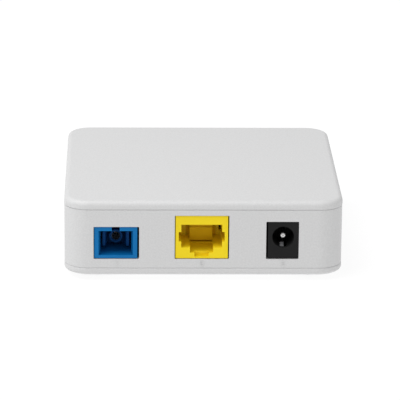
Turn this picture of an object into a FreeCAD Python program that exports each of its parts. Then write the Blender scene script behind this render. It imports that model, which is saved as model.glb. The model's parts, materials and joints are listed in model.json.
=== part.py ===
"""Optical network terminal: a small white three-shell case with an optical port, a LAN port and a DC power
port on its rear, built as separate pieces. Units are millimetres.

Frame: +Z up, the origin on the surface it stands on, under the middle of the case. The ports face -Y, the
status lights face +Y. A depth is measured from the connectors' front faces towards +Y.
"""
import FreeCAD
import Part
import math
import os

Vector = FreeCAD.Vector

# Case
case_width = 82.0
case_depth = 82.0
case_height = 22.6
foot_height = 1.8
lid_height = 2.5
base_height = 2.25
lid_corner_radius = 7.2
frame_corner_radius = 7.4
base_corner_radius = 7.6
lid_top_rounding = 1.5
lid_under_rounding = 0.25
frame_top_rounding = 0.35
frame_foot_rounding = 0.15
base_top_rounding = 0.35
base_foot_rounding = 1.15
frame_inset = 0.05
wall = 2.1
lid_plate = 2.0
base_plate = 1.8
lip_wall = 1.2
lip_clearance = 0.15
lid_lip_height = 1.6
base_lip_height = 1.4
bead_radius = 0.45
bead_length = 14.0
bead_clearance = 0.1
bead_spacing = 30.0
rib_wall = 0.9
rib_height = 1.0

# Case screws, their bosses under the lid and their towers on the base
boss_radius = 2.5
boss_lip_gap = 0.3
boss_end_distance = 18.85
boss_gusset_height = 6.0
boss_gusset_width = 5.0
tower_radius = 2.9
tower_height = 0.9
screw_radius = 1.1
screw_clearance = 0.02
screw_hole_clearance = 0.2
screw_length = 10.0
screw_head_radius = 2.0
screw_head_height = 1.2
counterbore_clearance = 0.3
counterbore_depth = 1.4
cross_width = 0.55
cross_length = 2.2
cross_depth = 0.7
screw_head_rounding = 0.5

# Feet and the blank rating plate
foot_radius = 4.0
foot_recess = 0.6
foot_clearance = 0.2
foot_edge_rounding = 0.4
foot_edge_distance = 10.0
plate_width = 44.0
plate_depth = 22.0
plate_thickness = 0.25
plate_recess = 0.3
plate_clearance = 0.15
plate_corner_radius = 1.5
plate_centre_y = -4.0

# Wall-mounting keyholes and vents in the base
keyhole_entry_radius = 3.5
keyhole_slot_radius = 1.8
keyhole_slot_length = 6.0
keyhole_spacing = 40.0
keyhole_edge_distance = 23.0
vent_width = 1.6
vent_length = 12.0
vent_end_radius = 0.75
vent_pitch = 3.6
vent_count = 7
vent_edge_distance = 14.5

# Main board
board_thickness = 1.6
board_standoff = 1.8
board_side_gap = 3.85
board_rear_gap = 1.65
board_front_gap = 2.35
board_corner_radius = 1.5
board_boss_gap = 0.6
standoff_radius = 2.4
board_screw_radius = 0.95
board_screw_length = 4.4
board_screw_head_radius = 1.8
board_screw_head_height = 1.0
board_hole_clearance = 0.15
support_edge_distance = 5.5

# Ports: each rests on the board and shows in an opening of the rear wall
port_recess = 0.3
port_opening_rounding = 0.25
opening_bottom_gap = 0.18
mark_width = 0.9
mark_height = 1.45
mark_stroke = 0.22
mark_relief = 0.18
peg_clearance = 0.05
peg_depth = 1.4

# Optical port
optical_wall_distance = 13.05
optical_gap_top = 0.18
optical_gap_left = 0.2
optical_gap_right = 0.55
sc_width = 12.6
sc_height = 9.5
sc_axis_height = 4.6
sc_length = 15.0
sc_cavity_width = 9.1
sc_cavity_height = 7.45
sc_cavity_depth = 13.4
sc_lead_in = 0.5
sc_lead_in_depth = 2.5
sc_key_width = 2.3
sc_key_depth = 9.0
sc_peg_radius = 0.8
sc_peg_spacing = 8.0
sc_peg_depth_from_face = 11.0
sc_insert_gap = 0.15
sc_insert_flange_start = 11.7
ferrule_radius = 1.25
sleeve_wall = 0.35
sleeve_start = 7.65
sleeve_length = 7.75
sleeve_free_length = 5.25
sleeve_groove_length = 0.6
sleeve_groove_depth = 0.2
sleeve_split = 0.3
holder_start = 7.1
holder_wall = 0.3
holder_lip_length = 0.5
holder_lip_clearance = 0.1
holder_lip_chamfer = 0.15
holder_clearance = 0.05
holder_seat_clearance = 0.05
stub_length = 5.0
stub_clearance = 0.005
stub_chamfer = 0.2
hook_start = 4.4
hook_tip_depth = 7.4
hook_height = 4.4
hook_wall_gap = 0.65
hook_thickness = 0.8
hook_barb = 0.4
hook_barb_back = 0.3
hook_root_gap = 0.08

# Optical sub-assembly behind the receptacle
barrel_flange_radius = 4.0
barrel_flange_length = 1.0
barrel_radius = 3.0
barrel_length = 4.0
bosa_size = 8.0
bosa_length = 8.5
bosa_edge_rounding = 1.0
bosa_light_path_radius = 0.8
bosa_side_path_radius = 0.6
barrel_bore_depth = 0.45
can_radius = 2.3
can_seat_clearance = 0.05
can_cap_length = 1.5
header_radius = 2.8
header_thickness = 1.2
lead_radius = 0.22
lead_offset = 0.9
lead_short_run = 1.6
lead_long_run = 3.4
lead_below_board = 1.0

# LAN port
lan_x = -0.6
lan_gap_top = 0.18
lan_gap_left = 0.22
lan_gap_right = 0.35
rj_width = 15.4
rj_height = 12.95
rj_length = 15.8
rj_roof = 2.65
rj_opening_width = 12.0
rj_opening_height = 7.0
rj_opening_depth = 12.5
rj_ear_drop = 4.9
rj_ear_height = 2.95
rj_ear_width = 0.75
rj_latch_width = 6.8
rj_latch_height = 1.6
rj_latch_depth = 9.75
rj_hook_width = 4.16
rj_hook_height = 1.2
rj_hook_depth = 1.9
rj_slit_rise = 0.2
rj_core_slot_width = 0.75
rj_core_slot_height = 2.15
rj_core_slot_drop = 3.3
rj_channel_width = 8.8
rj_channel_roof = 1.0
rj_channel_start = 2.0
rj_peg_radius = 1.6
rj_peg_spacing = 11.43
rj_peg_depth_from_face = 8.9
contact_count = 8
contact_pitch = 1.016
contact_width = 0.35
contact_thickness = 0.3
contact_roof_gap = 0.3
contact_bend_radius = 0.7
contact_bend_depth = 3.2
contact_root_gap = 0.06
contact_reach = 7.8
contact_fall = 2.75
contact_nose = 0.95
contact_nose_rise = 0.3
carrier_side_gap = 0.03
carrier_nose_height = 3.2
carrier_foot_drop = 0.95
carrier_foot_rise = 0.2
carrier_foot_setback = 0.6
carrier_sill_height = 0.6
carrier_sill_setback = 0.4
carrier_sill_depth = 0.5
carrier_tongue_start = 4.2
carrier_tongue_thickness = 0.7
carrier_gap = 0.05
comb_wall = 0.3
comb_start = 9.9
comb_drop = 4.1
tail_depth = 14.6
tail_below_board = 1.0

# DC power port
power_wall_distance = 15.55
power_gap_top = 0.3
power_gap_left = 0.5
power_gap_right = 0.1
dc_width = 9.0
dc_height = 11.0
dc_length = 14.2
dc_flange_length = 3.4
dc_barrel_drop = 0.15
dc_axis_height = 6.55
dc_bore_radius = 3.2
dc_bore_depth = 10.0
dc_rib_width = 0.3
dc_rib_height = 0.15
dc_rib_length = 1.2
dc_rib_angles = (78.0, 125.0)
dc_slot_width = 2.2
dc_slot_start = 1.2
dc_slot_end = 11.2
dc_pin_radius = 1.0
dc_pin_start = 1.5
dc_pin_tip_rounding = 0.7
dc_pin_dimple_radius = 0.25
dc_pin_dimple_depth = 0.4
dc_pin_seat_radius = 0.8
dc_pin_rivet_radius = 1.4
dc_pin_rivet_length = 0.5
dc_spring_width = 1.1
dc_spring_offset = -0.3
dc_spring_thickness = 0.3
dc_spring_tip_depth = 1.9
dc_spring_root_depth = 9.8
dc_spring_tip_drop = 0.3
dc_spring_nose_run = 0.9
dc_spring_crown_rise = 0.85
dc_spring_crown_length = 0.5
dc_spring_root_drop = 0.35
dc_spring_root_gap = 0.08
dc_terminal_width = 2.2
dc_terminal_thickness = 0.3
dc_terminal_gap = 0.02
dc_switch_height = 3.3

# Status lights and their light pipe
led_count = 4
led_pitch = 8.0
led_length = 1.6
led_width = 0.9
led_height = 0.8
led_gap = 0.2
led_from_board_edge = 1.5
window_radius = 1.1
window_clearance = 0.05
pipe_axis_height = 4.5
pipe_bar_height = 2.4
pipe_bar_depth = 2.6
pipe_leg_size = 2.0
pipe_ear_length = 4.0
stake_radius = 0.75
stake_clearance = 0.05
stake_head_radius = 1.2
stake_head_length = 0.6

# Reset switch on the right edge of the board, reached through a pinhole
reset_y = 6.0
reset_pinhole_radius = 1.0
switch_width = 7.0
switch_depth = 3.6
switch_height = 3.5
switch_edge_gap = 0.2
switch_front_wall = 0.6
plunger_width = 3.0
plunger_height = 1.6
plunger_reach = 1.4
plunger_flange = 0.6
plunger_flange_thickness = 0.8
plunger_clearance = 0.05
plunger_travel = 0.3

# Board components: (width, depth, height) of each, and its place against a port or the board's middle
chip_standoff = 0.1
leg_thickness = 0.15
transformer_size = (7.1, 12.7, 5.4)
transformer_behind_lan = 9.0
transformer_legs = 8
transformer_leg_reach = 1.2
processor_size = (10.0, 10.0, 1.0)
processor_y = 8.0
memory_size = (3.9, 4.9, 1.6)
memory_offset = 12.0
crystal_size = (3.2, 5.0, 1.1)
driver_size = (5.0, 5.0, 0.9)
driver_y = 2.0
converter_size = (3.9, 4.9, 1.6)
converter_y = -4.0
converter_legs = 4
small_leg_reach = 1.0
leg_pitch = 1.27
leg_width = 0.42
inductor_size = (5.2, 5.2, 3.0)
inductor_y = 3.5
inductor_corner_radius = 0.9
inductor_rounding = 0.35
capacitor_radius = 3.15
capacitor_height = 7.7
capacitor_base_height = 0.8
capacitor_base_width = 6.6
capacitor_rounding = 0.4
capacitor_groove_height = 2.1
capacitor_groove_width = 0.4
capacitor_groove_depth = 0.2
capacitor_spacing = 7.4
capacitor_behind_power = 8.0
small_chip = (0.8, 1.6, 0.8)
small_chip_count = 6
small_chip_offset = 8.0
small_chip_pitch = 1.8
led_resistor = (1.6, 0.8, 0.45)
led_resistor_gap = 5.0
inner_support_gap = 4.5
support_behind_ports = 23.0

# Derived planes and places
base_bottom = foot_height
base_top = base_bottom + base_height
base_plate_top = base_bottom + base_plate
lid_top = base_bottom + case_height
lid_bottom = lid_top - lid_height
lid_plate_bottom = lid_top - lid_plate
frame_half_x = case_width / 2 - frame_inset
frame_half_y = case_depth / 2 - frame_inset
inner_half_x = frame_half_x - wall
inner_half_y = frame_half_y - wall
inner_corner_radius = frame_corner_radius - wall
lip_half_x = inner_half_x - lip_clearance
lip_half_y = inner_half_y - lip_clearance
lip_corner_radius = inner_corner_radius - lip_clearance
board_bottom = base_plate_top + board_standoff
board_top = board_bottom + board_thickness
board_half_x = inner_half_x - board_side_gap
board_rear = -inner_half_y + board_rear_gap
board_front = inner_half_y - board_front_gap
boss_x = lip_half_x - lip_wall - boss_lip_gap - boss_radius
boss_y = inner_half_y - boss_end_distance
boss_centres = [(sx * boss_x, sy * boss_y) for sx in (-1, 1) for sy in (-1, 1)]
tower_top = base_plate_top + tower_height
foot_x = case_width / 2 - foot_edge_distance
foot_y = case_depth / 2 - foot_edge_distance
keyhole_y = case_depth / 2 - keyhole_edge_distance
vent_y = -case_depth / 2 + vent_edge_distance
port_face = -frame_half_y + port_recess
optical_x = -inner_half_x + optical_wall_distance
optical_z = board_top + sc_axis_height
sleeve_radius = ferrule_radius + sleeve_wall
holder_bore_radius = sleeve_radius + holder_clearance
holder_radius = holder_bore_radius + holder_wall
holder_mouth_radius = ferrule_radius + holder_lip_clearance
power_x = inner_half_x - power_wall_distance
power_z = board_top + dc_axis_height
spring_x = power_x + dc_spring_offset
rj_top = board_top + rj_height
reset_z = board_top + switch_height / 2
pipe_z = board_top + pipe_axis_height
led_y = board_front - led_from_board_edge
led_xs = [(i - (led_count - 1) / 2) * led_pitch for i in range(led_count)]
contact_xs = [lan_x + (i - (contact_count - 1) / 2) * contact_pitch for i in range(contact_count)]
support_centres = [
    (-board_half_x + support_edge_distance, board_front - support_edge_distance),
    (board_half_x - support_edge_distance, board_front - support_edge_distance),
    (lan_x - rj_width / 2 - inner_support_gap, board_rear + support_behind_ports),
    (board_half_x - support_edge_distance, board_rear + support_behind_ports),
]


# Shape helpers

def block(x, y, z):
    """A box from (low, high) along each axis."""
    return Part.makeBox(x[1] - x[0], y[1] - y[0], z[1] - z[0], Vector(x[0], y[0], z[0]))


def centred(middle, size):
    """(low, high) of a span of this size about its middle."""
    return (middle - size / 2, middle + size / 2)


def slab(centre, size, z):
    """A block of (width, depth) about (x, y), over the span z."""
    return block(centred(centre[0], size[0]), centred(centre[1], size[1]), z)


def rod(axis, radius, centre, low, high):
    """A cylinder along x, y or z; centre gives the other two coordinates in x, y, z order."""
    a, b = centre
    start = {"x": Vector(low, a, b), "y": Vector(a, low, b), "z": Vector(a, b, low)}[axis]
    direction = {"x": Vector(1, 0, 0), "y": Vector(0, 1, 0), "z": Vector(0, 0, 1)}[axis]
    return Part.makeCylinder(radius, high - low, start, direction)


def prism(axis, outline, low, high):
    """A polygon in the plane across an axis, extruded from low to high along it."""
    place = {
        "x": lambda a, b: Vector(low, a, b),
        "y": lambda a, b: Vector(a, low, b),
        "z": lambda a, b: Vector(a, b, low),
    }[axis]
    direction = {"x": Vector(1, 0, 0), "y": Vector(0, 1, 0), "z": Vector(0, 0, 1)}[axis]
    points = [place(a, b) for a, b in outline]
    return Part.Face(Part.makePolygon(points + [points[0]])).extrude(direction * (high - low))


def rounded_block(half_x, half_y, radius, low, high, centre=(0.0, 0.0)):
    """A block with rounded upright edges."""
    x, y = centre
    solid = block((x - half_x, x + half_x), (y - half_y, y + half_y), (low, high))
    upright = [e for e in solid.Edges if e.BoundBox.ZLength > (high - low) / 2]
    return solid.makeFillet(radius, upright)


def round_rim(solid, z, radius):
    """Rounds every edge that lies in the plane at height z."""
    flat = [e for e in solid.Edges if abs(e.BoundBox.ZMin - z) < 1e-4 and abs(e.BoundBox.ZMax - z) < 1e-4]
    return solid.makeFillet(radius, flat)


def joined(first, *others):
    """One solid from several that touch."""
    return first.multiFuse(list(others)).removeSplitter() if others else first


def bent_lead(points, radius):
    """A round wire along straight runs, with a ball at each bend."""
    pieces = []
    for a, b in zip(points, points[1:]):
        pieces.append(Part.makeCylinder(radius, (b - a).Length, a, b - a))
    pieces += [Part.makeSphere(radius, p) for p in points[1:-1]]
    return joined(*pieces)


def export(name, *solids):
    """Writes a node's STEP file from one solid or from a group of separate ones."""
    shape = solids[0] if len(solids) == 1 else Part.makeCompound(list(solids))
    shape.exportStep(os.path.join("parts", name + ".step"))


# Case shells

def snap_beads(radius):
    """The bars on the lid's lip that click into the frame's side walls."""
    z = lid_bottom - lid_lip_height / 2
    bars = []
    for side in (-1, 1):
        for y in (-bead_spacing / 2, bead_spacing / 2):
            low, high = centred(y, bead_length)
            bars.append(rod("y", radius, (side * lip_half_x, z), low, high))
    return bars


def lip_ring(low, high):
    outer = rounded_block(lip_half_x, lip_half_y, lip_corner_radius, low, high)
    inner = rounded_block(
        lip_half_x - lip_wall, lip_half_y - lip_wall, lip_corner_radius - lip_wall, low, high)
    return outer.cut(inner)


def top_cover():
    lid = rounded_block(case_width / 2, case_depth / 2, lid_corner_radius, lid_bottom, lid_top)
    lid = round_rim(lid, lid_top, lid_top_rounding)
    lid = round_rim(lid, lid_bottom, lid_under_rounding)
    pocket_x, pocket_y = lip_half_x - lip_wall, lip_half_y - lip_wall
    lid = lid.cut(rounded_block(
        pocket_x, pocket_y, lip_corner_radius - lip_wall, lid_bottom, lid_plate_bottom))
    lip = lip_ring(lid_bottom - lid_lip_height, lid_bottom)
    beads = [b.common(block(
        centred(0, 2 * (lip_half_x + bead_radius)), centred(0, case_depth), (base_top, lid_top)))
        for b in snap_beads(bead_radius)]
    ribs = []
    for x in (-pocket_x / 3, pocket_x / 3):
        ribs.append(block(centred(x, rib_wall), (-pocket_y, pocket_y),
                          (lid_plate_bottom - rib_height, lid_plate_bottom)))
    for y in (-pocket_y / 3, pocket_y / 3):
        ribs.append(block((-pocket_x, pocket_x), centred(y, rib_wall),
                          (lid_plate_bottom - rib_height, lid_plate_bottom)))
    bosses, holes = [], []
    for x, y in boss_centres:
        bosses.append(rod("z", boss_radius, (x, y), tower_top, lid_plate_bottom))
        inward = -boss_gusset_width if x > 0 else boss_gusset_width
        foot_of_gusset = lid_plate_bottom - boss_gusset_height
        gusset = [(x, lid_plate_bottom), (x + inward, lid_plate_bottom), (x, foot_of_gusset)]
        low, high = centred(y, rib_wall)
        bosses.append(prism("y", gusset, low, high))
        holes.append(rod("z", screw_radius + screw_clearance, (x, y), tower_top, tower_top + screw_length))
    lid = joined(lid, lip, *beads, *ribs, *bosses)
    return lid.cut(Part.makeCompound(holes))


def port_openings():
    """The rectangular openings in the rear wall, one for each connector."""
    ports = [
        (optical_x, sc_width, sc_height, optical_gap_top, optical_gap_left, optical_gap_right),
        (lan_x, rj_width, rj_height, lan_gap_top, lan_gap_left, lan_gap_right),
        (power_x, dc_width, dc_height, power_gap_top, power_gap_left, power_gap_right),
    ]
    openings = []
    for x, width, height, top, left, right in ports:
        opening = block(
            (x - width / 2 - left, x + width / 2 + right),
            (-frame_half_y - wall, -inner_half_y + wall),
            (board_top - opening_bottom_gap, board_top + height + top))
        through = [e for e in opening.Edges if e.BoundBox.YLength > wall]
        openings.append(opening.makeFillet(port_opening_rounding, through))
    return openings


def raised_digit(x, segments):
    """A plain digit standing proud of the rear wall, made of the named segments, a at the top."""
    half_x, half_z, middle = mark_width / 2, mark_height / 2, (base_top + board_top) / 2
    across = (x - half_x, x + half_x)
    left, right = (x - half_x, x - half_x + mark_stroke), (x + half_x - mark_stroke, x + half_x)
    upper, lower = (middle, middle + half_z), (middle - half_z, middle)
    bars = {
        "a": (across, (middle + half_z - mark_stroke, middle + half_z)),
        "b": (right, upper),
        "c": (right, lower),
        "d": (across, (middle - half_z, middle - half_z + mark_stroke)),
        "e": (left, lower),
        "g": (across, centred(middle, mark_stroke)),
    }
    depth = (-frame_half_y - mark_relief, -frame_half_y + mark_stroke)
    return [block(bars[s][0], depth, bars[s][1]) for s in segments]


def port_numbers():
    """1, 2 and 3, left to right under the ports."""
    return raised_digit(optical_x, "bc") + raised_digit(lan_x, "abged") + raised_digit(power_x, "abgcd")


def light_pipe_stakes():
    """The posts on the front wall that carry the light pipe, with their melted heads."""
    x = led_xs[-1] + pipe_leg_size / 2 + pipe_ear_length / 2
    ear_back = inner_half_y - pipe_bar_depth
    stakes = []
    for side in (-1, 1):
        end = ear_back - stake_head_length
        stakes.append(rod("y", stake_radius, (side * x, pipe_z), end, inner_half_y))
        stakes.append(rod("y", stake_head_radius, (side * x, pipe_z), end, ear_back))
    return stakes


def body_frame():
    frame = rounded_block(frame_half_x, frame_half_y, frame_corner_radius, base_top, lid_bottom)
    frame = round_rim(frame, lid_bottom, frame_top_rounding)
    frame = round_rim(frame, base_top, frame_foot_rounding)
    frame = frame.cut(rounded_block(inner_half_x, inner_half_y, inner_corner_radius, base_top, lid_bottom))
    cuts = port_openings() + snap_beads(bead_radius + bead_clearance)
    for x in led_xs:
        window = window_radius + window_clearance
        cuts.append(rod("y", window, (x, pipe_z), inner_half_y - wall, frame_half_y + wall))
    pinhole_end = frame_half_x + wall
    cuts.append(rod("x", reset_pinhole_radius, (reset_y, reset_z), inner_half_x - wall, pinhole_end))
    frame = frame.cut(Part.makeCompound(cuts))
    return joined(frame, *light_pipe_stakes(), *port_numbers())


def keyhole(x):
    """A wall-hanging keyhole through the base, its narrow end towards the front."""
    entry = rod("z", keyhole_entry_radius, (x, keyhole_y), base_bottom, base_plate_top)
    end_y = keyhole_y + keyhole_slot_length
    slot = block(centred(x, 2 * keyhole_slot_radius), (keyhole_y, end_y), (base_bottom, base_plate_top))
    return joined(entry, slot, rod("z", keyhole_slot_radius, (x, end_y), base_bottom, base_plate_top))


def vent(x):
    half_x, half_y = vent_width / 2, vent_length / 2
    return rounded_block(half_x, half_y, vent_end_radius, base_bottom, base_plate_top, (x, vent_y))


def foot_centres():
    names = {(-1, -1): "rear_left", (1, -1): "rear_right", (-1, 1): "front_left", (1, 1): "front_right"}
    return {name: (sx * foot_x, sy * foot_y) for (sx, sy), name in names.items()}


def base_cover():
    base = rounded_block(case_width / 2, case_depth / 2, base_corner_radius, base_bottom, base_top)
    base = round_rim(base, base_top, base_top_rounding)
    base = round_rim(base, base_bottom, base_foot_rounding)
    pocket_x, pocket_y = lip_half_x - lip_wall, lip_half_y - lip_wall
    base = base.cut(rounded_block(
        pocket_x, pocket_y, lip_corner_radius - lip_wall, base_plate_top, base_top))
    parts = [lip_ring(base_top, base_top + base_lip_height)]
    cuts = [keyhole(side * keyhole_spacing / 2) for side in (-1, 1)]
    cuts += [vent((i - (vent_count - 1) / 2) * vent_pitch) for i in range(vent_count)]
    for x, y in boss_centres:
        parts.append(rod("z", tower_radius, (x, y), base_plate_top, tower_top))
        cuts.append(rod("z", screw_radius + screw_hole_clearance, (x, y), base_bottom, tower_top))
        cuts.append(rod("z", screw_head_radius + counterbore_clearance, (x, y),
                        base_bottom, base_bottom + counterbore_depth))
    for x, y in support_centres:
        parts.append(rod("z", standoff_radius, (x, y), base_plate_top, board_bottom))
        cuts.append(rod("z", board_screw_radius + screw_clearance, (x, y),
                        board_top - board_screw_length, board_bottom))
    for x, y in foot_centres().values():
        cuts.append(rod("z", foot_radius + foot_clearance, (x, y), base_bottom, base_bottom + foot_recess))
    cuts.append(rounded_block(
        plate_width / 2 + plate_clearance, plate_depth / 2 + plate_clearance, plate_corner_radius,
        base_bottom, base_bottom + plate_recess, (0, plate_centre_y)))
    return joined(base, *parts).cut(Part.makeCompound(cuts))


def foot(x, y):
    pad = rod("z", foot_radius, (x, y), 0.0, base_bottom + foot_recess)
    return round_rim(pad, 0.0, foot_edge_rounding)


def rating_plate():
    top = base_bottom + plate_recess
    return rounded_block(
        plate_width / 2, plate_depth / 2, plate_corner_radius,
        top - plate_thickness, top, (0, plate_centre_y))


def screw(x, y, seat, tip, head_side, radius, head_radius, head_height):
    """A pan-head screw on the z axis: its head lies below the seat for -1 and above it for +1."""
    low, high = sorted((seat, tip))
    shank = rod("z", radius, (x, y), low, high)
    head_end = seat + head_side * head_height
    low, high = sorted((seat, head_end))
    head = rod("z", head_radius, (x, y), low, high)
    head = round_rim(head, head_end, screw_head_rounding)
    low, high = sorted((head_end, head_end - head_side * cross_depth))
    cross = [block(centred(x, a), centred(y, b), (low, high))
             for a, b in ((cross_width, cross_length), (cross_length, cross_width))]
    return joined(shank, head).cut(Part.makeCompound(cross))


def case_screws():
    seat = base_bottom + counterbore_depth
    return [screw(x, y, seat, seat + screw_length, -1, screw_radius, screw_head_radius, screw_head_height)
            for x, y in boss_centres]


def board_screws():
    return [screw(x, y, board_top, board_top - board_screw_length + screw_clearance, 1,
                  board_screw_radius, board_screw_head_radius, board_screw_head_height)
            for x, y in support_centres]


# Board

def sc_pegs(radius, low, high):
    y = port_face + sc_peg_depth_from_face
    return [rod("z", radius, (optical_x + side * sc_peg_spacing / 2, y), low, high) for side in (-1, 1)]


def rj_pegs(radius, low, high):
    y = port_face + rj_peg_depth_from_face
    return [rod("z", radius, (lan_x + side * rj_peg_spacing / 2, y), low, high) for side in (-1, 1)]


def main_board():
    low, high = board_bottom, board_top
    centre_y = (board_rear + board_front) / 2
    board = rounded_block(
        board_half_x, (board_front - board_rear) / 2, board_corner_radius, low, high, (0, centre_y))
    cuts = [rod("z", boss_radius + board_boss_gap, c, low, high) for c in boss_centres]
    cuts += [rod("z", board_screw_radius + board_hole_clearance, c, low, high) for c in support_centres]
    cuts += sc_pegs(sc_peg_radius + peg_clearance, low, high)
    cuts += rj_pegs(rj_peg_radius + peg_clearance, low, high)
    for x, y in laser_lead_feet() + receiver_lead_feet():
        cuts.append(rod("z", lead_radius + peg_clearance, (x, y), low, high))
    gap = 2 * peg_clearance
    tail_y = port_face + tail_depth
    tails = [(x, tail_y, contact_width, contact_thickness) for x in contact_xs]
    for x, y, width, depth in tails + dc_terminal_feet():
        cuts.append(slab((x, y), (width + gap, depth + gap), (low, high)))
    return board.cut(Part.makeCompound(cuts))


# Optical port

def sc_receptacle():
    x_span = centred(optical_x, sc_width)
    shell = block(x_span, (port_face, port_face + sc_length), (board_top, board_top + sc_height))
    cavity_z = centred(optical_z, sc_cavity_height)
    cavity = block(centred(optical_x, sc_cavity_width), (port_face, port_face + sc_cavity_depth), cavity_z)
    inner = sc_cavity_width / 2
    mouth = inner + sc_lead_in
    lead_in = prism("z", [
        (optical_x - mouth, port_face), (optical_x + mouth, port_face),
        (optical_x + inner, port_face + sc_lead_in_depth), (optical_x - inner, port_face + sc_lead_in_depth),
    ], *cavity_z)
    keyway = block(centred(optical_x, sc_key_width), (port_face, port_face + sc_key_depth),
                   (optical_z, board_top + sc_height))
    back = port_face + sc_length
    back_hole = rod("y", holder_radius + holder_seat_clearance, (optical_x, optical_z), port_face, back)
    shell = shell.cut(Part.makeCompound([cavity, lead_in, keyway, back_hole]))
    return joined(shell, *sc_pegs(sc_peg_radius, board_top - peg_depth, board_top))


def sc_sleeve_holder():
    start = port_face + holder_start
    end = port_face + sc_length
    tube = rod("y", holder_radius, (optical_x, optical_z), start, end)
    flange = block(
        centred(optical_x, sc_cavity_width - 2 * sc_insert_gap),
        (port_face + sc_insert_flange_start, port_face + sc_cavity_depth),
        centred(optical_z, sc_cavity_height - 2 * sc_insert_gap))
    bore = rod("y", holder_bore_radius, (optical_x, optical_z), start + holder_lip_length, end)
    mouth = rod("y", holder_mouth_radius, (optical_x, optical_z), start, start + holder_lip_length)
    holder = joined(tube, flange).cut(Part.makeCompound([bore, mouth]))
    rim = [e for e in holder.Edges if e.BoundBox.YMax < start + 1e-4
           and e.BoundBox.XLength < 2 * holder_mouth_radius + 1e-4]
    return holder.makeChamfer(holder_lip_chamfer, rim)


def sc_split_sleeve():
    start = port_face + sleeve_start
    end = start + sleeve_length
    groove = start + sleeve_free_length
    tube = rod("y", sleeve_radius, (optical_x, optical_z), start, end)
    cuts = [
        rod("y", ferrule_radius, (optical_x, optical_z), start, end),
        rod("y", ferrule_radius + sleeve_groove_depth, (optical_x, optical_z),
            groove, groove + sleeve_groove_length),
        block(centred(optical_x, sleeve_split), (start, end), (optical_z, optical_z + 2 * sleeve_radius)),
    ]
    return tube.cut(Part.makeCompound(cuts))


def stub_face():
    return port_face + sleeve_start + sleeve_free_length + sleeve_groove_length


def sc_fibre_stub():
    start = stub_face()
    stub = rod("y", ferrule_radius - stub_clearance, (optical_x, optical_z), start, start + stub_length)
    front = [e for e in stub.Edges if abs(e.BoundBox.YMin - start) < 1e-4 and e.BoundBox.YLength < 1e-4]
    return stub.makeChamfer(stub_chamfer, front)


def sc_hook(side):
    """One latch arm of the receptacle: side -1 is the left one. It springs about its root."""
    root = port_face + sc_insert_flange_start - hook_root_gap
    start, tip = port_face + hook_start, port_face + hook_tip_depth
    outer = sc_cavity_width / 2 - hook_wall_gap
    inner = outer - hook_thickness
    outline = [
        (outer, start), (outer, root), (inner, root),
        (inner, tip + hook_barb_back), (inner - hook_barb, tip), (inner, start),
    ]
    points = [(optical_x + side * a, b) for a, b in outline]
    return prism("z", points, *centred(optical_z, hook_height))


def bosa_start():
    return port_face + sc_length + barrel_length


def bosa_barrel():
    start = port_face + sc_length
    body = rod("y", barrel_radius, (optical_x, optical_z), start, start + barrel_length)
    flange = rod("y", barrel_flange_radius, (optical_x, optical_z), start, start + barrel_flange_length)
    cuts = [
        rod("y", holder_bore_radius, (optical_x, optical_z), start, start + barrel_bore_depth),
        rod("y", ferrule_radius, (optical_x, optical_z), start, start + barrel_length),
    ]
    return joined(body, flange).cut(Part.makeCompound(cuts))


def bosa_block():
    start = bosa_start()
    end = start + bosa_length
    solid = block(centred(optical_x, bosa_size), (start, end), centred(optical_z, bosa_size))
    upright = [e for e in solid.Edges if e.BoundBox.YLength > bosa_length / 2]
    solid = solid.makeFillet(bosa_edge_rounding, upright)
    side_x = optical_x + bosa_size / 2
    middle_y = (start + end) / 2
    seat = can_radius + can_seat_clearance
    cuts = [
        rod("y", bosa_light_path_radius, (optical_x, optical_z), start, end),
        rod("y", seat, (optical_x, optical_z), end - can_cap_length - can_seat_clearance, end),
        rod("x", bosa_side_path_radius, (middle_y, optical_z), optical_x, side_x),
        rod("x", seat, (middle_y, optical_z), side_x - can_cap_length - can_seat_clearance, side_x),
    ]
    return solid.cut(Part.makeCompound(cuts))


def laser_can():
    end = bosa_start() + bosa_length
    cap = rod("y", can_radius, (optical_x, optical_z), end - can_cap_length, end)
    header = rod("y", header_radius, (optical_x, optical_z), end, end + header_thickness)
    return joined(cap, header)


def receiver_can():
    side_x = optical_x + bosa_size / 2
    y = bosa_start() + bosa_length / 2
    cap = rod("x", can_radius, (y, optical_z), side_x - can_cap_length, side_x)
    header = rod("x", header_radius, (y, optical_z), side_x, side_x + header_thickness)
    return joined(cap, header)


def lead_pattern():
    """The four leads of a can: (offset across, offset up, run before the bend)."""
    return [(a * lead_offset, b * lead_offset, lead_long_run if b > 0 else lead_short_run)
            for a in (-1, 1) for b in (-1, 1)]


def laser_lead_feet():
    start = bosa_start() + bosa_length + header_thickness
    return [(optical_x + a, start + run) for a, b, run in lead_pattern()]


def receiver_lead_feet():
    start = optical_x + bosa_size / 2 + header_thickness
    y = bosa_start() + bosa_length / 2
    return [(start + run, y + a) for a, b, run in lead_pattern()]


def laser_leads():
    start = bosa_start() + bosa_length + header_thickness
    low = board_bottom - lead_below_board
    return [bent_lead([
        Vector(optical_x + a, start, optical_z + b), Vector(optical_x + a, start + run, optical_z + b),
        Vector(optical_x + a, start + run, low)], lead_radius) for a, b, run in lead_pattern()]


def receiver_leads():
    start = optical_x + bosa_size / 2 + header_thickness
    y = bosa_start() + bosa_length / 2
    low = board_bottom - lead_below_board
    return [bent_lead([
        Vector(start, y + a, optical_z + b), Vector(start + run, y + a, optical_z + b),
        Vector(start + run, y + a, low)], lead_radius) for a, b, run in lead_pattern()]


# LAN port

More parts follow.
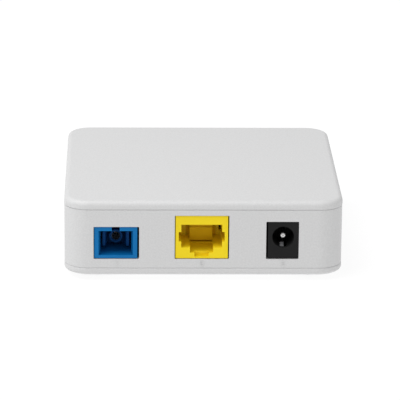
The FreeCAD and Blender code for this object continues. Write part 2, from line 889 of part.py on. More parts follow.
def rj45_housing():
    """The jack's shell: plug cavity, latch and contact channels, and a moulding slot through its rear wall."""
    shell = block(centred(lan_x, rj_width), (port_face, port_face + rj_length), (board_top, rj_top))
    ceiling = rj_top - rj_roof
    floor = ceiling - rj_opening_height
    latch_floor = floor - rj_latch_height
    hook_floor = latch_floor - rj_hook_height
    channel_roof = rj_top - rj_channel_roof
    ear_width = rj_opening_width + 2 * rj_ear_width
    ear_top = rj_top - rj_ear_drop
    pockets = [
        (rj_opening_width, 0.0, rj_opening_depth, floor, ceiling),
        (ear_width, 0.0, rj_opening_depth, ear_top - rj_ear_height, ear_top),
        (rj_latch_width, 0.0, rj_latch_depth, latch_floor, ceiling),
        (rj_hook_width, 0.0, rj_hook_depth, hook_floor, ceiling),
        (rj_latch_width + 2 * carrier_gap, rj_latch_depth, rj_opening_depth, latch_floor + rj_slit_rise, floor),
        (rj_channel_width, rj_channel_start, rj_length, ceiling, channel_roof),
        (rj_channel_width, rj_opening_depth, rj_length, board_top, channel_roof),
    ]
    cuts = [block(centred(lan_x, width), (port_face + start, port_face + end), (low, high))
            for width, start, end, low, high in pockets]
    side = lan_x + rj_opening_width / 2
    slot_top = ceiling - rj_core_slot_drop
    through = (port_face + rj_opening_depth, port_face + rj_length)
    cuts.append(block((side - rj_core_slot_width, side), through, (slot_top - rj_core_slot_height, slot_top)))
    shell = shell.cut(Part.makeCompound(cuts))
    return joined(shell, *rj_pegs(rj_peg_radius, board_top - peg_depth, board_top))


def contact_path():
    """What the LAN contacts share: top run's height, hairpin's depth and spring root's height."""
    run_z = rj_top - rj_channel_roof - contact_roof_gap - contact_thickness / 2
    bend_y = port_face + contact_bend_depth
    root_z = run_z - 2 * contact_bend_radius
    return run_z, bend_y, root_z


def rj45_contact_tails():
    """Each contact's fixed wire: up behind the jack, forward under its roof and round the hairpin."""
    run_z, bend_y, root_z = contact_path()
    half = contact_thickness / 2
    tail_y = port_face + tail_depth
    low = board_bottom - tail_below_board
    tails = []
    for x in contact_xs:
        span = centred(x, contact_width)
        up = block(span, (tail_y - half, tail_y + half), (low, run_z + half))
        run = block(span, (bend_y, tail_y + half), (run_z - half, run_z + half))
        centre = (bend_y, run_z - contact_bend_radius)
        ring = rod("x", contact_bend_radius + half, centre, *span).cut(
            rod("x", contact_bend_radius - half, centre, *span))
        front = block(span, (bend_y - 2 * contact_bend_radius, bend_y), (root_z - half, run_z + half))
        tails.append(joined(up, run, ring.common(front)))
    return tails


def rj45_contact_springs():
    """Each contact's free beam, which a plug pushes up."""
    run_z, bend_y, root_z = contact_path()
    half = contact_thickness / 2
    start_y = bend_y + contact_root_gap
    end_y = bend_y + contact_reach
    end_z = root_z - contact_fall
    length = math.hypot(end_y - start_y, contact_fall)
    up_y, up_z = contact_fall / length * half, (end_y - start_y) / length * half
    nose_y, nose_z = end_y + contact_nose, end_z + contact_nose_rise
    outline = [
        (start_y, root_z - half), (start_y, root_z + half),
        (end_y + up_y, end_z + up_z), (nose_y + up_y, nose_z + up_z),
        (nose_y + up_y, nose_z - up_z), (end_y - up_y, end_z - up_z),
    ]
    return [prism("x", outline, *centred(x, contact_width)) for x in contact_xs]


def rj45_contact_carrier():
    """The insert that holds the contacts: a tongue under their top runs, a rear block, a comb and a nose.

    The nose is the plug's end stop. A low sill stands on it behind its face, its foot is set back, and a slit
    stays open between the foot and the floor of the latch channel.
    """
    run_z = contact_path()[0]
    tongue_top = run_z - contact_thickness / 2
    back = port_face + rj_length
    tail_y = port_face + tail_depth
    front = port_face + rj_opening_depth
    tongue_bottom = tongue_top - carrier_tongue_thickness
    across = centred(lan_x, rj_channel_width - 2 * carrier_side_gap)
    tongue = block(across, (port_face + carrier_tongue_start, front), (tongue_bottom, tongue_top))
    rear = block(across, (front, back), (board_top, tongue_top))
    floor = rj_top - rj_roof - rj_opening_height
    nose_x = centred(lan_x, rj_latch_width)
    nose_face = port_face + rj_latch_depth
    foot_top, nose_top = floor + carrier_foot_rise, floor + carrier_nose_height
    sill_start = nose_face + carrier_sill_setback
    sill = (sill_start, sill_start + carrier_sill_depth)
    nose = [
        block(nose_x, (nose_face, front), (foot_top, nose_top)),
        block(nose_x, (nose_face + carrier_foot_setback, front), (floor - carrier_foot_drop, foot_top)),
        block(nose_x, sill, (nose_top, nose_top + carrier_sill_height)),
    ]
    teeth = []
    comb_xs = [contact_xs[0] + (i - 0.5) * contact_pitch for i in range(contact_count + 1)]
    tooth_z = (tongue_top - comb_drop, tongue_bottom)
    for x in comb_xs:
        teeth.append(block(centred(x, comb_wall), (port_face + comb_start, front), tooth_z))
    grooves = []
    groove_start = tail_y - contact_thickness / 2 - carrier_gap
    for x in contact_xs:
        grooves.append(block(
            centred(x, contact_width + 2 * carrier_gap), (groove_start, back), (board_top, tongue_top)))
    return joined(tongue, rear, *nose, *teeth).cut(Part.makeCompound(grooves))


# DC power port

def dc_jack_housing():
    x_span = centred(power_x, dc_width)
    front, back = port_face, port_face + dc_length
    flange = block(x_span, (front, front + dc_flange_length), (board_top, board_top + dc_height))
    lower = block(x_span, (front, back), (board_top, power_z))
    upper = rod("y", dc_height - dc_axis_height - dc_barrel_drop, (power_x, power_z), front, back)
    body = joined(flange, lower, upper)
    bore = rod("y", dc_bore_radius, (power_x, power_z), front, front + dc_bore_depth)
    slot_y = (front + dc_slot_start, front + dc_slot_end)
    slot = block(centred(power_x, dc_slot_width), slot_y, (board_top, power_z))
    seat = rod("y", dc_pin_seat_radius, (power_x, power_z), front, back)
    body = body.cut(Part.makeCompound([bore, slot, seat]))
    ribs = []
    for angle in dc_rib_angles:
        rib = block(centred(power_x, dc_rib_width), (front, front + dc_rib_length),
                    (power_z + dc_bore_radius - dc_rib_height, power_z + dc_bore_radius + dc_rib_height))
        rib.rotate(Vector(power_x, 0, power_z), Vector(0, 1, 0), 90 - angle)
        ribs.append(rib)
    return joined(body, *ribs)


def dc_centre_pin():
    tip = port_face + dc_pin_start
    floor = port_face + dc_bore_depth
    back = port_face + dc_length
    pin = rod("y", dc_pin_radius, (power_x, power_z), tip, floor)
    front = [e for e in pin.Edges if abs(e.BoundBox.YMin - tip) < 1e-4 and e.BoundBox.YLength < 1e-4]
    pin = pin.makeFillet(dc_pin_tip_rounding, front)
    rivet_start = back + dc_terminal_thickness + 2 * dc_terminal_gap
    rivet_end = rivet_start + dc_pin_rivet_length
    shank = rod("y", dc_pin_seat_radius, (power_x, power_z), floor, rivet_end)
    rivet = rod("y", dc_pin_rivet_radius, (power_x, power_z), rivet_start, rivet_end)
    dimple = rod("y", dc_pin_dimple_radius, (power_x, power_z), tip, tip + dc_pin_dimple_depth)
    return joined(pin, shank, rivet).cut(dimple)


def dc_terminal_feet():
    """Where each terminal of the power jack passes the board: (x, y, width, depth)."""
    back = port_face + dc_length + dc_terminal_gap + dc_terminal_thickness / 2
    root = port_face + dc_spring_root_depth + dc_spring_root_gap + dc_terminal_thickness / 2
    side = power_x + dc_width / 2 + dc_terminal_gap + dc_terminal_thickness / 2
    side_y = port_face + dc_flange_length + dc_spring_tip_depth
    return [
        (power_x, back, dc_terminal_width, dc_terminal_thickness),
        (spring_x, root, dc_spring_width, dc_terminal_thickness),
        (side, side_y, dc_terminal_thickness, dc_terminal_width),
    ]


def dc_pin_terminal():
    x, y, width, depth = dc_terminal_feet()[0]
    low = board_bottom - tail_below_board
    tab = slab((x, y), (width, depth), (low, power_z + dc_pin_rivet_radius))
    hole = rod("y", dc_pin_seat_radius, (power_x, power_z), y - depth, y + depth)
    return tab.cut(hole)


def dc_spring_line():
    """The power spring's two ends in the rest position: (tip depth, height) and (root depth, height)."""
    bore_floor = power_z - dc_bore_radius
    tip = (port_face + dc_spring_tip_depth, bore_floor - dc_spring_tip_drop)
    root = (port_face + dc_spring_root_depth, bore_floor - dc_spring_root_drop)
    return tip, root


def dc_sleeve_spring():
    """The leaf in the bore's floor that touches a plug's outer sleeve: a steep nose, a crown and a beam."""
    (tip_y, tip_z), (root_y, root_z) = dc_spring_line()
    half = dc_spring_thickness / 2
    crown_y, crown_z = tip_y + dc_spring_nose_run, tip_z + dc_spring_tip_drop + dc_spring_crown_rise
    slope = dc_spring_nose_run / (crown_z - tip_z)
    nose_thickness = dc_spring_thickness * math.hypot(1.0, slope)
    bend_y = crown_y + dc_spring_crown_length
    under_z = crown_z - dc_spring_thickness
    outline = [
        (tip_y, tip_z), (crown_y, crown_z), (bend_y, crown_z), (root_y, root_z + half), (root_y, root_z - half),
        (bend_y, under_z), (crown_y + nose_thickness - dc_spring_thickness * slope, under_z),
        (tip_y + nose_thickness, tip_z),
    ]
    return prism("x", outline, *centred(spring_x, dc_spring_width))


def dc_spring_terminal():
    x, y, width, depth = dc_terminal_feet()[1]
    root_z = dc_spring_line()[1][1]
    low = board_bottom - tail_below_board
    return slab((x, y), (width, depth), (low, root_z + dc_spring_thickness / 2))


def dc_switch_contact():
    """The outer terminal, on the jack's side, of the contact that the leaf leaves when a plug goes in."""
    x, y, width, depth = dc_terminal_feet()[2]
    low = board_bottom - tail_below_board
    return slab((x, y), (width, depth), (low, board_top + dc_switch_height))


# Light pipe, status lights and reset switch

def light_pipe():
    """One clear moulding: a bar on the front wall, a leg down to each light and a lens in each window."""
    bar_half = led_xs[-1] + pipe_leg_size / 2
    back = inner_half_y - pipe_bar_depth
    bar_z = centred(pipe_z, pipe_bar_height)
    leg_bottom = board_top + led_height + led_gap
    bar = block(centred(0, 2 * (bar_half + pipe_ear_length)), (back, inner_half_y), bar_z)
    leg_y = (led_y - pipe_leg_size / 2, back)
    legs, lenses = [], []
    for x in led_xs:
        legs.append(block(centred(x, pipe_leg_size), leg_y, (leg_bottom, bar_z[1])))
        lenses.append(rod("y", window_radius, (x, pipe_z), inner_half_y, frame_half_y))
    hole_x = bar_half + pipe_ear_length / 2
    hole_radius = stake_radius + stake_clearance
    holes = [rod("y", hole_radius, (side * hole_x, pipe_z), back, inner_half_y) for side in (-1, 1)]
    return joined(bar, *legs, *lenses).cut(Part.makeCompound(holes))


def status_leds():
    return [slab((x, led_y), (led_length, led_width), (board_top, board_top + led_height)) for x in led_xs]


def switch_front():
    return board_half_x - switch_edge_gap


def reset_switch_body():
    """The switch's hollow case, with a window for the plunger's stem and room for its flange to move."""
    front = switch_front()
    gap = 2 * plunger_clearance
    window_back = front - switch_front_wall
    pocket_back = window_back - plunger_flange_thickness - plunger_travel - gap
    spread = 2 * plunger_flange + gap
    body = block((front - switch_depth, front), centred(reset_y, switch_width),
                 (board_top, board_top + switch_height))
    window = block((window_back, front), centred(reset_y, plunger_width + gap),
                   centred(reset_z, plunger_height + gap))
    pocket = block((pocket_back, window_back), centred(reset_y, plunger_width + spread),
                   centred(reset_z, plunger_height + spread))
    return body.cut(Part.makeCompound([window, pocket]))


def reset_plunger():
    front = switch_front()
    seat = front - switch_front_wall - plunger_clearance
    spread = 2 * plunger_flange
    stem = block((seat, front + plunger_reach), centred(reset_y, plunger_width),
                 centred(reset_z, plunger_height))
    flange = block((seat - plunger_flange_thickness, seat), centred(reset_y, plunger_width + spread),
                   centred(reset_z, plunger_height + spread))
    return joined(stem, flange)


# Board components

def moulded_chip(x, y, size, legs_per_side=0, leg_reach=0.0):
    """A moulded package, with gull-wing legs along its left and right sides if it has any."""
    width, depth, height = size
    pieces = [slab((x, y), (width, depth), (board_top + chip_standoff, board_top + height))]
    for side in (-1, 1):
        root = x + side * width / 2
        for i in range(legs_per_side):
            span = centred(y + (i - (legs_per_side - 1) / 2) * leg_pitch, leg_width)
            foot_x = sorted((root, root + side * leg_reach))
            riser_x = sorted((root, root + side * leg_thickness))
            pieces.append(block(foot_x, span, (board_top, board_top + leg_thickness)))
            pieces.append(block(riser_x, span, (board_top, board_top + height / 2)))
    return joined(*pieces)


def can_capacitor(x, y):
    """A surface-mount electrolytic can on its square base, with the crimped groove near its foot."""
    top = board_top + capacitor_height
    seat = board_top + capacitor_base_height
    groove = centred(board_top + capacitor_groove_height, capacitor_groove_width)
    base = slab((x, y), (capacitor_base_width, capacitor_base_width), (board_top, seat))
    can = round_rim(rod("z", capacitor_radius, (x, y), seat, top), top, capacitor_rounding)
    neck = rod("z", capacitor_radius + capacitor_groove_depth, (x, y), *groove).cut(
        rod("z", capacitor_radius - capacitor_groove_depth, (x, y), *groove))
    return joined(base, can.cut(neck))


def power_inductor():
    width, depth, height = inductor_size
    top = board_top + height
    body = rounded_block(
        width / 2, depth / 2, inductor_corner_radius, board_top, top, (power_x, inductor_y))
    return round_rim(body, top, inductor_rounding)


def chip_row(x, y, count, pitch, size):
    """A row along x of small two-ended chip parts."""
    width, depth, height = size
    xs = [x + (i - (count - 1) / 2) * pitch for i in range(count)]
    return [slab((cx, y), (width, depth), (board_top, board_top + height)) for cx in xs]


def export_case():
    export("top_cover", top_cover())
    export("body_frame", body_frame())
    export("base_cover", base_cover())
    for name, (x, y) in foot_centres().items():
        export("foot_" + name, foot(x, y))
    export("rating_plate", rating_plate())
    export("case_screws", *case_screws())
    export("board_screws", *board_screws())
    export("light_pipe", light_pipe())


def export_optical_port():
    export("sc_receptacle", sc_receptacle())
    export("sc_sleeve_holder", sc_sleeve_holder())
    export("sc_split_sleeve", sc_split_sleeve())
    export("sc_fibre_stub", sc_fibre_stub())
    export("sc_hook_left", sc_hook(-1))
    export("sc_hook_right", sc_hook(1))
    export("bosa_barrel", bosa_barrel())
    export("bosa_block", bosa_block())
    export("laser_can", laser_can())
    export("receiver_can", receiver_can())
    export("laser_leads", *laser_leads())
    export("receiver_leads", *receiver_leads())


def export_copper_ports():
    export("rj45_housing", rj45_housing())
    export("rj45_contact_carrier", rj45_contact_carrier())
    export("rj45_contact_tails", *rj45_contact_tails())
    export("rj45_contact_springs", *rj45_contact_springs())
    export("dc_jack_housing", dc_jack_housing())
    export("dc_centre_pin", dc_centre_pin())
    export("dc_pin_terminal", dc_pin_terminal())
    export("dc_sleeve_spring", dc_sleeve_spring())
    export("dc_spring_terminal", dc_spring_terminal())
    export("dc_switch_contact", dc_switch_contact())


def export_board():
    transformer_y = port_face + rj_length + transformer_behind_lan
    capacitor_y = port_face + dc_length + capacitor_behind_power
    export("main_board", main_board())
    export("status_leds", *status_leds())
    export("reset_switch_body", reset_switch_body())
    export("reset_plunger", reset_plunger())
    export("lan_transformer", moulded_chip(
        lan_x, transformer_y, transformer_size, transformer_legs, transformer_leg_reach))
    export("network_processor", moulded_chip(lan_x, processor_y, processor_size))
    export("flash_memory", moulded_chip(
        lan_x + memory_offset, processor_y, memory_size, converter_legs, small_leg_reach))
    export("clock_crystal", moulded_chip(lan_x - memory_offset, processor_y, crystal_size))
    export("laser_driver", moulded_chip(optical_x, driver_y, driver_size))
    export("power_converter", moulded_chip(
        power_x, converter_y, converter_size, converter_legs, small_leg_reach))
    export("power_inductor", power_inductor())
    export("input_capacitor", can_capacitor(power_x, capacitor_y))
    export("output_capacitor", can_capacitor(power_x - capacitor_spacing, capacitor_y))
    export("chip_capacitors", *chip_row(
        lan_x, processor_y + small_chip_offset, small_chip_count, small_chip_pitch, small_chip))
    export("led_resistors", *chip_row(0.0, led_y - led_resistor_gap, led_count, led_pitch, led_resistor))


os.makedirs("parts", exist_ok=True)
export_case()
export_optical_port()
export_copper_ports()
export_board()
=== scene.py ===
"""Looks of the optical network terminal: camera, floor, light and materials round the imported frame.

The port side faces -Y. All lengths are in metres, in the frame's own axes.
"""

import json
import math

import bpy
from mathutils import Matrix, Vector


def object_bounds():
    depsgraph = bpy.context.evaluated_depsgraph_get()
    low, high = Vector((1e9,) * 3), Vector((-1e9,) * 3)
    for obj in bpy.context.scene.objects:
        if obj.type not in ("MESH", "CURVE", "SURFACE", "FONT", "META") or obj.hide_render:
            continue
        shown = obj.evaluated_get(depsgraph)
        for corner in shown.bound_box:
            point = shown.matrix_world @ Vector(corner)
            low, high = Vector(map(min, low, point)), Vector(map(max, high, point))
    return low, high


MM = 0.001

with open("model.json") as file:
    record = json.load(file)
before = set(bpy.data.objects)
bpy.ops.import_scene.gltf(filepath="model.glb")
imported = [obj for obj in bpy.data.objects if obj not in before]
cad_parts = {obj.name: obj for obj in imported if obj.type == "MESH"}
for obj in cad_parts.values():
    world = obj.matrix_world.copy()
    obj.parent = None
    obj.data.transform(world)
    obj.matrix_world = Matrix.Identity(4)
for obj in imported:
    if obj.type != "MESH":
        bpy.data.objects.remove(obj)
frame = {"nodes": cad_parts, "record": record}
low_at_start, high_at_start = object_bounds()
middle = (low_at_start + high_at_start) / 2

# Camera: a long lens, a little above the ports and almost square on to them. Angles are in degrees,
# the lens and its sensor in millimetres.
CAMERA_AZIMUTH = -1.53
CAMERA_ELEVATION = 16.95
CAMERA_ROLL = 0.53
CAMERA_DISTANCE = 925 * MM
CAMERA_LENS = 272.0
CAMERA_SENSOR = 36.0
CAMERA_SEES_FROM = 0.05
CAMERA_SEES_TO = 20.0
AIM_BESIDE_CENTRE = -0.13 * MM
AIM_HEIGHT_SHARE = 0.5125

# Floor and light. The floor lies a hair under the feet and glows, so that it stays white up to them.
WHITE = (1.0, 1.0, 1.0, 1.0)
FLOOR_SIZE = 6.0
FLOOR_DROP = 0.03 * MM
FLOOR_COLOUR = (0.15, 0.15, 0.15, 1.0)
FLOOR_ROUGHNESS = 0.9
FLOOR_GLOW = 0.88
SKY_LEVEL = 0.545
KEY_DIRECTION = Vector((-0.39, -0.20, 0.88))
KEY_DISTANCE = 0.8
KEY_SIZE = 0.7
KEY_POWER = 4.65

# Small roundings of moulded edges: (node, width).
SOFT_EDGES = (
    ("dc_jack_housing", 0.10 * MM),
    ("sc_receptacle", 0.06 * MM),
    ("sc_hook_left", 0.10 * MM),
    ("sc_hook_right", 0.10 * MM),
)
SOFT_EDGE_ANGLE = 50.0
SOFT_EDGE_STEPS = 2
WELD_DISTANCE = 0.001 * MM

# What the plastics and metals share.
NOISE_LOW, NOISE_HIGH = 0.25, 0.75
PIT_SIZE_BY_GRAIN = 1.7
PIT_DEPTH_BY_GRAIN = 0.5
CLOUD_SIZE = 14 * MM
TARNISH_SIZE = 2.2 * MM
TARNISH = 0.08
BRUSHED_SMOOTH, BRUSHED_ROUGH = 0.75, 1.3


# ---------------------------------------------------------------- camera, floor and light


def add_camera():
    """The long lens looking down at the port side."""
    azimuth, elevation = math.radians(CAMERA_AZIMUTH), math.radians(CAMERA_ELEVATION)
    back = Vector(
        (
            math.sin(azimuth) * math.cos(elevation),
            -math.cos(azimuth) * math.cos(elevation),
            math.sin(elevation),
        )
    )
    aim_height = low_at_start.z + AIM_HEIGHT_SHARE * (high_at_start.z - low_at_start.z)
    aim = Vector((middle.x + AIM_BESIDE_CENTRE, middle.y, aim_height))
    data = bpy.data.cameras.new("camera")
    data.lens = CAMERA_LENS
    data.sensor_width = CAMERA_SENSOR
    data.clip_start = CAMERA_SEES_FROM
    data.clip_end = CAMERA_SEES_TO
    camera = bpy.data.objects.new("camera", data)
    turn = (-back).to_track_quat("-Z", "Y").to_matrix().to_4x4()
    roll = Matrix.Rotation(math.radians(CAMERA_ROLL), 4, "Z")
    camera.matrix_world = Matrix.Translation(aim + back * CAMERA_DISTANCE) @ turn @ roll
    bpy.context.scene.collection.objects.link(camera)
    bpy.context.scene.camera = camera


def add_floor():
    """A plain white square of floor under the feet."""
    half = FLOOR_SIZE / 2
    height = low_at_start.z - FLOOR_DROP
    corners = [(x * half, y * half, height) for x, y in ((-1, -1), (1, -1), (1, 1), (-1, 1))]
    mesh = bpy.data.meshes.new("floor")
    mesh.from_pydata(corners, [], [(0, 1, 2, 3)])
    floor = bpy.data.objects.new("floor", mesh)
    bpy.context.scene.collection.objects.link(floor)
    paint = bpy.data.materials.new("floor_white")
    paint.use_nodes = True
    shader = paint.node_tree.nodes["Principled BSDF"]
    shader.inputs["Base Color"].default_value = FLOOR_COLOUR
    shader.inputs["Roughness"].default_value = FLOOR_ROUGHNESS
    shader.inputs["Specular IOR Level"].default_value = 0.0
    shader.inputs["Emission Color"].default_value = WHITE
    shader.inputs["Emission Strength"].default_value = FLOOR_GLOW
    mesh.materials.append(paint)


def add_light():
    """An even white room and one large soft light, above and to the left."""
    world = bpy.data.worlds.new("studio")
    world.use_nodes = True
    background = world.node_tree.nodes["Background"]
    background.inputs["Color"].default_value = WHITE
    background.inputs["Strength"].default_value = SKY_LEVEL
    bpy.context.scene.world = world
    data = bpy.data.lights.new("key", "AREA")
    data.shape = "DISK"
    data.size = KEY_SIZE
    data.energy = KEY_POWER
    key = bpy.data.objects.new("key", data)
    toward = KEY_DIRECTION.normalized()
    key.location = middle + toward * KEY_DISTANCE
    key.rotation_mode = "QUATERNION"
    key.rotation_quaternion = (-toward).to_track_quat("-Z", "Y")
    bpy.context.scene.collection.objects.link(key)


def set_colour_management():
    """Plain sRGB, so that white stays white."""
    view = bpy.context.scene.view_settings
    view.view_transform = "Standard"
    view.look = "None"
    view.exposure = 0.0
    view.gamma = 1.0


# ---------------------------------------------------------------- node helpers


def surface(name, roughness, metallic=0.0, specular=0.5, coat=0.0, coat_roughness=0.1):
    """A new material, as (material, node tree, shader). Uniform values sit on the shader's own sockets."""
    made = bpy.data.materials.new(name)
    made.use_nodes = True
    tree = made.node_tree
    shader = tree.nodes["Principled BSDF"]
    shader.inputs["Roughness"].default_value = roughness
    shader.inputs["Metallic"].default_value = metallic
    shader.inputs["Specular IOR Level"].default_value = specular
    shader.inputs["Coat Weight"].default_value = coat
    shader.inputs["Coat Roughness"].default_value = coat_roughness
    return made, tree, shader


def place(tree, stretch=(1.0, 1.0, 1.0)):
    """Coordinates fixed to the object, in metres, stretched for grain that runs one way."""
    coordinates = tree.nodes.new("ShaderNodeTexCoord")
    mapping = tree.nodes.new("ShaderNodeMapping")
    mapping.inputs["Scale"].default_value = stretch
    tree.links.new(coordinates.outputs["Object"], mapping.inputs["Vector"])
    return mapping.outputs["Vector"]


def noise(tree, where, size, detail=3.0, rough=0.55, distortion=0.0):
    """Noise whose blobs are about `size` metres across."""
    texture = tree.nodes.new("ShaderNodeTexNoise")
    texture.inputs["Scale"].default_value = 1.0 / size
    texture.inputs["Detail"].default_value = detail
    texture.inputs["Roughness"].default_value = rough
    texture.inputs["Distortion"].default_value = distortion
    tree.links.new(where, texture.inputs["Vector"])
    return texture.outputs["Fac"]


def cells(tree, where, size):
    """Voronoi cells about `size` metres across."""
    texture = tree.nodes.new("ShaderNodeTexVoronoi")
    texture.inputs["Scale"].default_value = 1.0 / size
    tree.links.new(where, texture.inputs["Vector"])
    return texture.outputs["Distance"]


def bands(tree, where, pitch, distortion):
    """Wavering bands across x, about `pitch` metres apart."""
    texture = tree.nodes.new("ShaderNodeTexWave")
    texture.inputs["Scale"].default_value = 1.0 / pitch / math.pi
    texture.inputs["Distortion"].default_value = distortion
    tree.links.new(where, texture.inputs["Vector"])
    return texture.outputs["Fac"]


def tint(tree, factor, dark, light, low=0.3, high=0.7):
    """A colour that goes from dark to light as the factor goes from low to high."""
    ramp = tree.nodes.new("ShaderNodeValToRGB")
    first, last = ramp.color_ramp.elements
    first.position, last.position = low, high
    first.color = (*dark, 1.0)
    last.color = (*light, 1.0)
    tree.links.new(factor, ramp.inputs["Fac"])
    return ramp.outputs["Color"]


def spread(tree, factor, least, most):
    """The range that noise mostly fills, mapped to least to most."""
    mapped = tree.nodes.new("ShaderNodeMapRange")
    mapped.inputs["From Min"].default_value = NOISE_LOW
    mapped.inputs["From Max"].default_value = NOISE_HIGH
    mapped.inputs["To Min"].default_value = least
    mapped.inputs["To Max"].default_value = most
    tree.links.new(factor, mapped.inputs["Value"])
    return mapped.outputs["Result"]


def bump(tree, height, depth, strength=1.0, over=None):
    """A bumped normal, `depth` metres deep, laid over another one when it is given."""
    node = tree.nodes.new("ShaderNodeBump")
    node.inputs["Distance"].default_value = depth
    node.inputs["Strength"].default_value = strength
    tree.links.new(height, node.inputs["Height"])
    if over is not None:
        tree.links.new(over, node.inputs["Normal"])
    return node.outputs["Normal"]


def scaled(colour, factor):
    """The colour, lighter or darker."""
    return tuple(min(1.0, channel * factor) for channel in colour)


def moulded(
    name, colour, roughness, grain, depth, mottle=0.03, gloss_spread=0.06, specular=0.5, cloud_size=CLOUD_SIZE
):
    """Moulded plastic: a faint cloudiness, a fine spark-eroded grain and uneven gloss."""
    made, tree, shader = surface(name, roughness, specular=specular)
    where = place(tree)
    cloud = noise(tree, where, cloud_size, detail=4.0, rough=0.75)
    fine = noise(tree, where, grain, detail=4.0, rough=0.6)
    pits = cells(tree, where, grain * PIT_SIZE_BY_GRAIN)
    colour_out = tint(tree, cloud, scaled(colour, 1 - mottle), scaled(colour, 1 + mottle))
    tree.links.new(colour_out, shader.inputs["Base Color"])
    gloss = spread(tree, fine, roughness - gloss_spread, roughness + gloss_spread)
    tree.links.new(gloss, shader.inputs["Roughness"])
    grainy = bump(tree, fine, depth)
    tree.links.new(bump(tree, pits, depth * PIT_DEPTH_BY_GRAIN, over=grainy), shader.inputs["Normal"])
    return made


def metal(name, colour, roughness, grain=0.4 * MM, stretch=(1.0, 1.0, 1.0), depth=0.002 * MM):
    """Plated or machined metal: a brushed grain along one axis, and patches of duller plate."""
    made, tree, shader = surface(name, roughness, metallic=1.0)
    brushed = noise(tree, place(tree, stretch), grain, detail=3.0)
    patches = noise(tree, place(tree), TARNISH_SIZE, detail=4.0, rough=0.6)
    colour_out = tint(tree, patches, scaled(colour, 1 - TARNISH), colour)
    tree.links.new(colour_out, shader.inputs["Base Color"])
    gloss = spread(tree, brushed, roughness * BRUSHED_SMOOTH, roughness * BRUSHED_ROUGH)
    tree.links.new(gloss, shader.inputs["Roughness"])
    tree.links.new(bump(tree, brushed, depth), shader.inputs["Normal"])
    return made


# ---------------------------------------------------------------- one material for each slot


def case_white():
    """The shells' fine, slightly speckled grain."""
    return moulded(
        "case_white", (0.660, 0.660, 0.662), 0.50, 0.28 * MM, 0.006 * MM, mottle=0.065, cloud_size=0.5 * MM
    )


def foot_rubber():
    return moulded(
        "foot_rubber", (0.075, 0.075, 0.08), 0.78, 0.22 * MM, 0.012 * MM, mottle=0.15, specular=0.3
    )


def plate_silver():
    """A blank satin film with faint lines along x."""
    made, tree, shader = surface("plate_silver", 0.36, metallic=0.55)
    lines = noise(tree, place(tree, stretch=(0.04, 1.0, 1.0)), 0.10 * MM, detail=2.0)
    haze = noise(tree, place(tree), 9 * MM, detail=3.0)
    tree.links.new(tint(tree, haze, (0.63, 0.63, 0.64), (0.67, 0.67, 0.68)), shader.inputs["Base Color"])
    tree.links.new(spread(tree, lines, 0.30, 0.46), shader.inputs["Roughness"])
    tree.links.new(bump(tree, lines, 0.0015 * MM), shader.inputs["Normal"])
    return made


def screw_steel():
    return metal("screw_steel", (0.62, 0.62, 0.64), 0.30, grain=0.25 * MM, stretch=(1.0, 1.0, 0.3))


def board_green():
    """Green solder resist over copper tracks, with a slightly glossy skin."""
    made, tree, shader = surface("board_green", 0.35, coat=0.35, coat_roughness=0.18)
    where = place(tree)
    across = bands(tree, where, 1.1 * MM, distortion=1.5)
    pour = noise(tree, where, 6 * MM, detail=1.0, distortion=0.6)
    tracks = tree.nodes.new("ShaderNodeMath")
    tracks.operation = "MULTIPLY"
    tree.links.new(across, tracks.inputs[0])
    tree.links.new(pour, tracks.inputs[1])
    under, over = (0.010, 0.085, 0.030), (0.022, 0.15, 0.052)
    colour_out = tint(tree, tracks.outputs["Value"], under, over, low=0.18, high=0.32)
    tree.links.new(colour_out, shader.inputs["Base Color"])
    tree.links.new(spread(tree, noise(tree, where, 1.5 * MM), 0.28, 0.42), shader.inputs["Roughness"])
    tree.links.new(bump(tree, tracks.outputs["Value"], 0.03 * MM, 0.6), shader.inputs["Normal"])
    return made


def port_blue():
    return moulded(
        "port_blue", (0.003, 0.165, 0.445), 0.45, 0.18 * MM, 0.003 * MM, mottle=0.05, specular=0.15
    )


def insert_blue():
    """The moulding that sits deep in the optical port, in a darker copy of the port's blue: painted shade for
    its depth.
    """
    return moulded(
        "insert_blue", (0.002, 0.060, 0.205), 0.52, 0.18 * MM, 0.003 * MM, mottle=0.05, specular=0.10
    )


def sleeve_bronze():
    """The sleeve's metal, darkened as painted shade deep in its bore and tinted blue as a painted reflection
    of the socket round it.
    """
    return metal("sleeve_bronze", (0.055, 0.095, 0.165), 0.40, grain=0.15 * MM, stretch=(1.0, 0.2, 1.0))


def ceramic_white():
    return moulded(
        "ceramic_white", (0.86, 0.84, 0.79), 0.18, 0.20 * MM, 0.0008 * MM, mottle=0.02, gloss_spread=0.05
    )


def port_yellow():
    return moulded(
        "port_yellow", (0.92, 0.70, 0.012), 0.46, 0.20 * MM, 0.003 * MM, mottle=0.03, specular=0.2
    )


def carrier_amber():
    """The moulding that holds the contacts, behind the yellow housing, in a darker copy of the yellow:
    painted shade deep in the socket.
    """
    return moulded(
        "carrier_amber", (0.80, 0.54, 0.004), 0.50, 0.20 * MM, 0.003 * MM, mottle=0.03, specular=0.1
    )


def port_black():
    return moulded(
        "port_black", (0.0148, 0.0148, 0.0152), 0.52, 0.16 * MM, 0.004 * MM, mottle=0.12, specular=0.10
    )


def contact_gold():
    return metal("contact_gold", (0.83, 0.60, 0.26), 0.26, stretch=(1.0, 0.2, 1.0))


def pin_nickel():
    return metal("pin_nickel", (0.65, 0.645, 0.64), 0.22, grain=0.2 * MM, stretch=(1.0, 1.0, 0.25))


def spring_steel():
    return metal("spring_steel", (0.20, 0.20, 0.21), 0.48, grain=1.2 * MM, depth=0.001 * MM)


def optics_steel():
    return metal("optics_steel", (0.60, 0.59, 0.57), 0.30, grain=0.12 * MM, stretch=(0.2, 1.0, 0.2))


def chip_black():
    return moulded("chip_black", (0.028, 0.028, 0.030), 0.55, 0.12 * MM, 0.006 * MM, mottle=0.12)


def can_aluminium():
    return metal("can_aluminium", (0.78, 0.78, 0.80), 0.34, grain=0.3 * MM, stretch=(1.0, 1.0, 0.1))


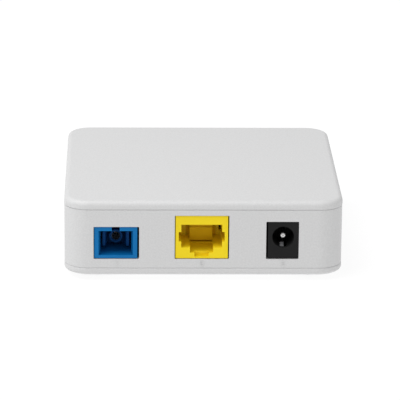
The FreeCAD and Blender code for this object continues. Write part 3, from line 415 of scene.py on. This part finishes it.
def chip_ceramic():
    return moulded("chip_ceramic", (0.42, 0.30, 0.18), 0.42, 0.10 * MM, 0.003 * MM, mottle=0.10)


def ferrite_grey():
    return moulded("ferrite_grey", (0.045, 0.045, 0.048), 0.62, 0.10 * MM, 0.010 * MM, mottle=0.15)


def light_pipe_clear():
    """Clear moulded plastic with a slightly frosted end."""
    made, tree, shader = surface("light_pipe_clear", 0.18)
    shader.inputs["Transmission Weight"].default_value = 0.45
    shader.inputs["IOR"].default_value = 1.49
    where = place(tree)
    flow = noise(tree, where, 3 * MM, detail=2.0)
    tree.links.new(tint(tree, flow, (0.86, 0.88, 0.89), (0.94, 0.95, 0.96)), shader.inputs["Base Color"])
    tree.links.new(spread(tree, noise(tree, where, 0.2 * MM), 0.12, 0.26), shader.inputs["Roughness"])
    tree.links.new(bump(tree, flow, 0.01 * MM), shader.inputs["Normal"])
    return made


def led_resin():
    """Milky resin, brighter where the die sits."""
    made, tree, shader = surface("led_resin", 0.22, coat=0.4, coat_roughness=0.08)
    where = place(tree)
    glow = noise(tree, where, 0.8 * MM, detail=2.0)
    tree.links.new(tint(tree, glow, (0.80, 0.76, 0.55), (0.90, 0.89, 0.78)), shader.inputs["Base Color"])
    tree.links.new(spread(tree, glow, 0.18, 0.30), shader.inputs["Roughness"])
    tree.links.new(bump(tree, glow, 0.004 * MM), shader.inputs["Normal"])
    return made


LOOKS = (
    case_white, foot_rubber, plate_silver, screw_steel, board_green, port_blue, insert_blue,
    sleeve_bronze, ceramic_white, port_yellow, carrier_amber, port_black, contact_gold, pin_nickel,
    spring_steel, optics_steel, chip_black, can_aluminium, chip_ceramic, ferrite_grey,
    light_pipe_clear, led_resin,
)


def dress_nodes():
    """Each node takes the material of its record slot."""
    made = {look.__name__: look() for look in LOOKS}
    slot_of = {part["node"]: part["material_slot"] for part in frame["record"]["subparts"]}
    for name, node in frame["nodes"].items():
        node.data.materials.clear()
        node.data.materials.append(made[slot_of[name]])


def soften_edges():
    """Moulded edges of the ports and the latch arms are never quite sharp."""
    for name, width in SOFT_EDGES:
        node = frame["nodes"][name]
        weld = node.modifiers.new("weld", "WELD")
        weld.merge_threshold = WELD_DISTANCE
        bevel = node.modifiers.new("bevel", "BEVEL")
        bevel.width = width
        bevel.segments = SOFT_EDGE_STEPS
        bevel.limit_method = "ANGLE"
        bevel.angle_limit = math.radians(SOFT_EDGE_ANGLE)


set_colour_management()
add_camera()
add_floor()
add_light()
dress_nodes()
soften_edges()
